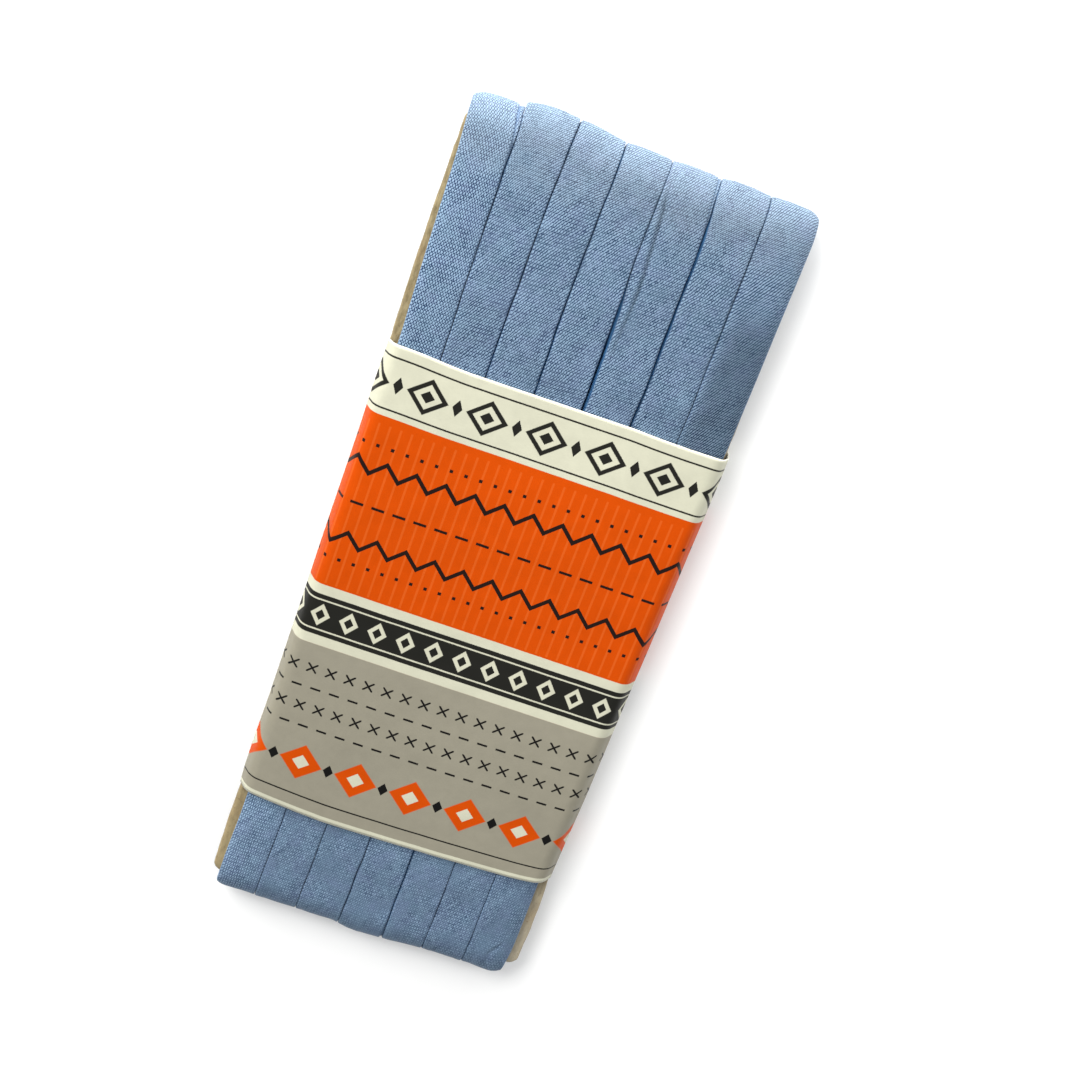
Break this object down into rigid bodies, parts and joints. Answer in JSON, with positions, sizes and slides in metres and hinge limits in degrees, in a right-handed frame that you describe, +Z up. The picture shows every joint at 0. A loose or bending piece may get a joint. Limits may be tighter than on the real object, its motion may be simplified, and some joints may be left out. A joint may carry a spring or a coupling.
{
  "type": "card of bias tape",
  "caption": "Flat board wound lengthwise with folded cotton bias tape, turn beside turn, and held by a printed paper band round its middle.",
  "frame": {"origin": "on the resting surface, under the middle of the card's outline", "axes": "+X across the card to the right, +Y along the turns towards the top end, +Z up, out of the front face"},
  "size_m": [0.0504, 0.1327, 0.0059],
  "materials": {
    "board": "matt grey-brown chipboard",
    "tape": "dusty blue cotton percale, plain weave cut on the bias",
    "band": "coated paper, printed in orange, cream, grey and black"
  },
  "bodies": {
    "root": {"card": "board", "tape_winding": "tape", "paper_band": "band"}
  },
  "joints": []
}
